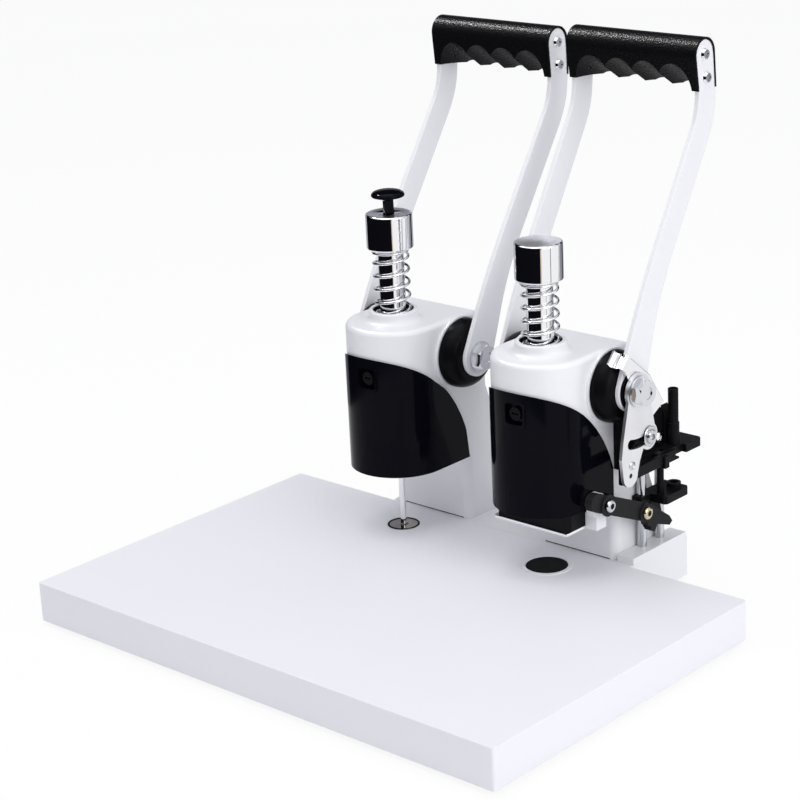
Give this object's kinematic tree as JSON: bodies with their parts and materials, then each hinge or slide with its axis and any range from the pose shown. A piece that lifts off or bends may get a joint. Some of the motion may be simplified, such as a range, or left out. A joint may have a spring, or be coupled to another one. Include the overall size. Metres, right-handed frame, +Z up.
{
  "type": "binding machine",
  "caption": "Hand-worked binding machine: a lever punch head and a lever rivet press on one white work table, with a small tube cutter and thickness gauge at the side",
  "frame": {"origin": "on the desk, under the middle of the outer box", "axes": "+X to the right along the table's front edge, +Y to the back, +Z up"},
  "size_m": [0.42, 0.3744, 0.3914],
  "materials": {
    "white_plastic": "satin moulded white",
    "white_paint": "satin white powder coat",
    "gloss_black": "polished black",
    "black_grain": "leather-like grain",
    "black_paint": "semi-gloss black paint",
    "steel": "ground steel",
    "chrome": "bright plated",
    "rubber": "matt rubber"
  },
  "bodies": {
    "base": {"table_shell": "white_plastic", "bed": "white_paint", "feet": "rubber", "table_screws": "chrome", "bed_bolts": "chrome", "die_plate": "steel", "press_pad": "rubber", "pad_ring": "white_plastic", "left_head": "white_paint", "right_head": "white_paint", "left_cover": "gloss_black", "right_cover": "gloss_black", "cover_screws": "chrome", "left_back_plate": "white_paint", "right_back_plate": "white_paint", "back_plate_screws": "chrome", "left_hub_covers": "gloss_black", "right_hub_covers": "gloss_black", "cutter_body": "black_paint", "tube_post": "black_paint", "guide_rods": "chrome", "cutter_screws": "chrome", "blade_keeper": "black_paint"},
    "left_lever": {"left_shaft": "steel", "left_crank_finger": "steel", "left_lever_left_arm": "white_paint", "left_lever_right_arm": "white_paint", "left_grip": "black_grain", "left_grip_screws": "chrome", "left_hub_bolts": "chrome"},
    "left_punch": {"left_plunger": "steel", "left_cap": "chrome", "punch_chuck": "steel", "hollow_punch": "steel", "left_return_spring": "chrome"},
    "ejector": {"eject_button": "gloss_black", "eject_rod": "steel", "eject_spring": "chrome"},
    "right_lever": {"right_shaft": "steel", "right_crank_finger": "steel", "right_lever_left_arm": "white_paint", "right_lever_right_arm": "white_paint", "right_grip": "black_grain", "right_grip_screws": "chrome", "right_hub_bolts": "chrome", "link_sleeve": "gloss_black", "clip_plate": "chrome"},
    "right_press": {"right_plunger": "steel", "right_cap": "chrome", "press_block": "black_paint", "press_plate": "steel", "rivet_punch": "steel", "foot_bracket": "white_paint", "gauge_pin_screw": "chrome", "right_return_spring": "chrome"},
    "cutter_link": {"link_plate": "steel"},
    "blade": {"blade_slide": "black_paint"},
    "gauge": {"gauge_lever": "black_paint"},
    "tray": {"gauge_tray": "black_paint"}
  },
  "joints": [
    {"name": "left_lever_hinge", "type": "hinge", "parent": "base", "child": "left_lever", "pos_m": [-0.0715, 0.07778, 0.1645], "axis": [1, 0, 0], "range_deg": [-40, 4]},
    {"name": "left_punch_slide", "type": "slide", "parent": "base", "child": "left_punch", "axis": [0, 0, 1], "range_m": [-0.0021, 0.0206], "deforming": ["left_return_spring"]},
    {"name": "eject_slide", "type": "slide", "parent": "left_punch", "child": "ejector", "axis": [0, 0, -1], "range_m": [0, 0.007], "stiffness_N_per_m": 600, "springref_m": -0.004, "deforming": ["eject_spring"]},
    {"name": "right_lever_hinge", "type": "hinge", "parent": "base", "child": "right_lever", "pos_m": [0.064, 0.07778, 0.1645], "axis": [1, 0, 0], "range_deg": [0, 57], "stiffness_Nm_per_rad": 1.6, "springref_deg": -34.38},
    {"name": "right_press_slide", "type": "slide", "parent": "base", "child": "right_press", "axis": [0, 0, 1], "range_m": [-0.0288, 0.0001], "deforming": ["right_return_spring"]},
    {"name": "cutter_link_hinge", "type": "hinge", "parent": "base", "child": "cutter_link", "pos_m": [0.064, 0.07778, 0.1645], "axis": [1, 0, 0], "range_deg": [-0.1, 11.6]},
    {"name": "blade_slide_joint", "type": "slide", "parent": "base", "child": "blade", "axis": [0, 1, 0], "range_m": [-0.0001, 0.0104]},
    {"name": "gauge_hinge", "type": "hinge", "parent": "base", "child": "gauge", "pos_m": [0.064, 0.09558, 0.0685], "axis": [1, 0, 0], "range_deg": [-0.1, 37.2]},
    {"name": "tray_slide", "type": "slide", "parent": "base", "child": "tray", "axis": [0, 0, 1], "range_m": [-0.0001, 0.0121]}
  ],
  "couplings": [
    {"joint": "left_punch_slide", "follows": "left_lever_hinge", "m_per_rad": -0.02927},
    {"joint": "right_press_slide", "follows": "right_lever_hinge", "m_per_rad": -0.02878},
    {"joint": "cutter_link_hinge", "follows": "right_lever_hinge", "ratio": 0.2},
    {"joint": "blade_slide_joint", "follows": "right_lever_hinge", "m_per_rad": 0.01035},
    {"joint": "gauge_hinge", "follows": "right_lever_hinge", "ratio": 0.645},
    {"joint": "tray_slide", "follows": "right_lever_hinge", "m_per_rad": 0.01199}
  ]
}
